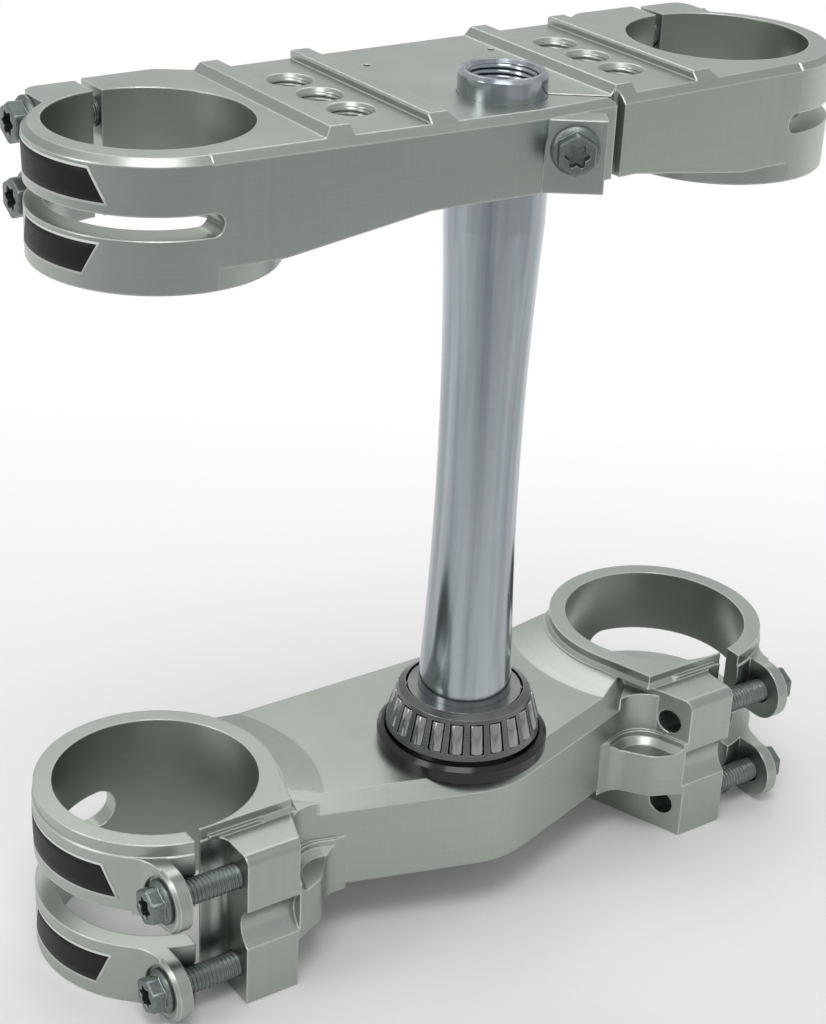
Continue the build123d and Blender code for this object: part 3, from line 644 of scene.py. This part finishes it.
# Blank labels on the outer faces of the left rings
def label(name, centre, ring_radius, angles, heights, slant):
    """Thin curved patch between two angles and two heights, its ends slanted, in degrees and millimetres."""
    work = bmesh.new()
    layer = work.loops.layers.uv.new("UVMap")
    radius = ring_radius + LABEL_REACH
    grid = {}
    for column in range(LABEL_COLUMNS + 1):
        for row in range(LABEL_ROWS + 1):
            share = row / LABEL_ROWS
            turn = angles[0] + (angles[1] - angles[0]) * column / LABEL_COLUMNS + slant * (share - 0.5)
            x = centre[0] + radius * math.cos(math.radians(turn))
            y = centre[1] + radius * math.sin(math.radians(turn))
            z = heights[0] + (heights[1] - heights[0]) * share
            grid[column, row] = work.verts.new((x * MM, y * MM, z * MM))
    for column in range(LABEL_COLUMNS):
        for row in range(LABEL_ROWS):
            places = ((column, row), (column + 1, row), (column + 1, row + 1), (column, row + 1))
            face = work.faces.new([grid[place] for place in places])
            for loop, (u, v) in zip(face.loops, places):
                loop[layer].uv = (u / LABEL_COLUMNS, v / LABEL_ROWS)
    obj = piece(name, finish_mesh(work, name), LABEL, smooth=60.0)
    thick = obj.modifiers.new("thickness", "SOLIDIFY")
    thick.thickness = LABEL_THICKNESS * MM
    thick.offset = -1


UPPER_LEFT = (-FORK_X, UPPER_RING_Y)
LOWER_LEFT = (-FORK_X, FORK_Y)
label("upper_label_high", UPPER_LEFT, UPPER_RING_R, (158.0, 218.0), (220.2, 229.6), -9.0)
label("upper_label_low", UPPER_LEFT, UPPER_RING_R, (162.0, 214.0), (201.6, 210.8), 9.0)
label("lower_label_high", LOWER_LEFT, LOWER_RING_R, (158.0, 221.0), (17.4, 28.6), -8.0)
label("lower_label_low", LOWER_LEFT, LOWER_RING_R, (162.0, 217.0), (-14.0, -2.6), 8.0)


# Floor, white where the camera looks past the object and darker in front of it with painted shade
def floor_paper(forward):
    """Pale paper that glows white far behind the object, for what sees or mirrors it alone."""
    material, tree, shader = new_material("white_paper")
    output = tree.nodes["Material Output"]
    fibre = noise(tree, position(tree), scale=300.0, rough=0.6)
    x, y = separate(tree, position(tree))
    forward_x = arithmetic(tree, "MULTIPLY", x, forward.x)
    forward_y = arithmetic(tree, "MULTIPLY", y, forward.y)
    ahead = arithmetic(tree, "ADD", forward_x, forward_y)
    # Paper darkens towards the camera: painted shade
    painted_shade_share = spread(tree, ahead, PAINTED_SHADE_RANGE, (1.0, 0.0))
    colour = blend_colours(tree, fibre, PAPER_DARK, PAPER_LIGHT)
    colour = blend_colours(tree, painted_shade_share, colour, PAPER_PAINTED_SHADE)
    link(tree, colour, shader.inputs["Base Color"])
    shader.inputs["Roughness"].default_value = 0.9
    path = add(tree, "LightPath")
    seen = arithmetic(tree, "MAXIMUM", path.outputs["Is Camera Ray"], path.outputs["Is Glossy Ray"])
    seen = arithmetic(tree, "MAXIMUM", seen, path.outputs["Is Transmission Ray"])
    white = arithmetic(tree, "MULTIPLY", seen, spread(tree, ahead, WHITE_RANGE, (0.0, 1.0)))
    glow = add(tree, "Emission", Strength=1.0)
    mixer = add(tree, "MixShader")
    link(tree, white, mixer.inputs["Fac"])
    link(tree, shader.outputs["BSDF"], mixer.inputs[1])
    link(tree, glow.outputs["Emission"], mixer.inputs[2])
    link(tree, mixer.outputs["Shader"], output.inputs["Surface"])
    return material


def studio_floor():
    """Flat sheet under the object, along the camera's view."""
    forward = Vector((-math.sin(AZIMUTH), math.cos(AZIMUTH), 0))
    sideways = Vector((forward.y, -forward.x, 0))
    height = Vector((0, 0, LOWER_BOTTOM * MM - FLOOR_GAP))
    corners = (
        (FLOOR_NEAR, -FLOOR_SIDE),
        (FLOOR_NEAR, FLOOR_SIDE),
        (FLOOR_FAR, FLOOR_SIDE),
        (FLOOR_FAR, -FLOOR_SIDE),
    )
    work = bmesh.new()
    work.faces.new([work.verts.new(forward * reach + sideways * side + height) for reach, side in corners])
    mesh = finish_mesh(work, "floor_mesh")
    mesh.materials.append(floor_paper(forward))
    obj = bpy.data.objects.new("studio_floor", mesh)
    bpy.context.scene.collection.objects.link(obj)


studio_floor()


# Light
def soft_light(name, place, target, size, power):
    """Rectangular lamp that faces a target, in metres and watts."""
    data = bpy.data.lights.new(name, "AREA")
    data.shape = "RECTANGLE"
    data.size, data.size_y = size
    data.energy = power
    obj = bpy.data.objects.new(name, data)
    obj.location = place
    obj.rotation_euler = (Vector(target) - Vector(place)).to_track_quat("-Z", "Y").to_euler()
    bpy.context.scene.collection.objects.link(obj)


soft_light("overhead", place=(-0.35, -0.45, 1.3), target=(0, 0, 0.1), size=(0.6, 0.5), power=4.8)
soft_light("rear_top", place=(0.5, 0.8, 1.2), target=(0.1, 0.2, 0.0), size=(1.0, 0.7), power=3.2)
soft_light("left_bank", place=(-1.1, 0.1, 0.7), target=(0, 0, 0.1), size=(0.3, 1.0), power=3.0)
world = bpy.data.worlds.new("studio")
bpy.context.scene.world = world
world.use_nodes = True
background = world.node_tree.nodes["Background"]
background.inputs["Color"].default_value = WORLD_GREY
background.inputs["Strength"].default_value = 1.0


# Camera
def camera_matrix():
    """Place and turn of the camera, from its angles round the target."""
    level = math.cos(ELEVATION)
    back = Vector((math.sin(AZIMUTH) * level, -math.cos(AZIMUTH) * level, math.sin(ELEVATION)))
    right = (-back).cross(Vector((0, 0, 1))).normalized()
    up = right.cross(-back)
    rolled_right = right * math.cos(ROLL) + up * math.sin(ROLL)
    rolled_up = up * math.cos(ROLL) - right * math.sin(ROLL)
    matrix = Matrix((rolled_right, rolled_up, back)).transposed().to_4x4()
    matrix.translation = TARGET + back * DISTANCE
    return matrix


camera_data = bpy.data.cameras.new("camera")
camera_data.sensor_width = SENSOR
camera_data.lens = FOCAL_PIXELS * SENSOR / PHOTO_HEIGHT
camera_data.clip_start = 0.01
camera_data.clip_end = 20.0
camera = bpy.data.objects.new("camera", camera_data)
camera.matrix_world = camera_matrix()
bpy.context.scene.collection.objects.link(camera)
bpy.context.scene.camera = camera
bpy.context.scene.view_settings.view_transform = "Standard"
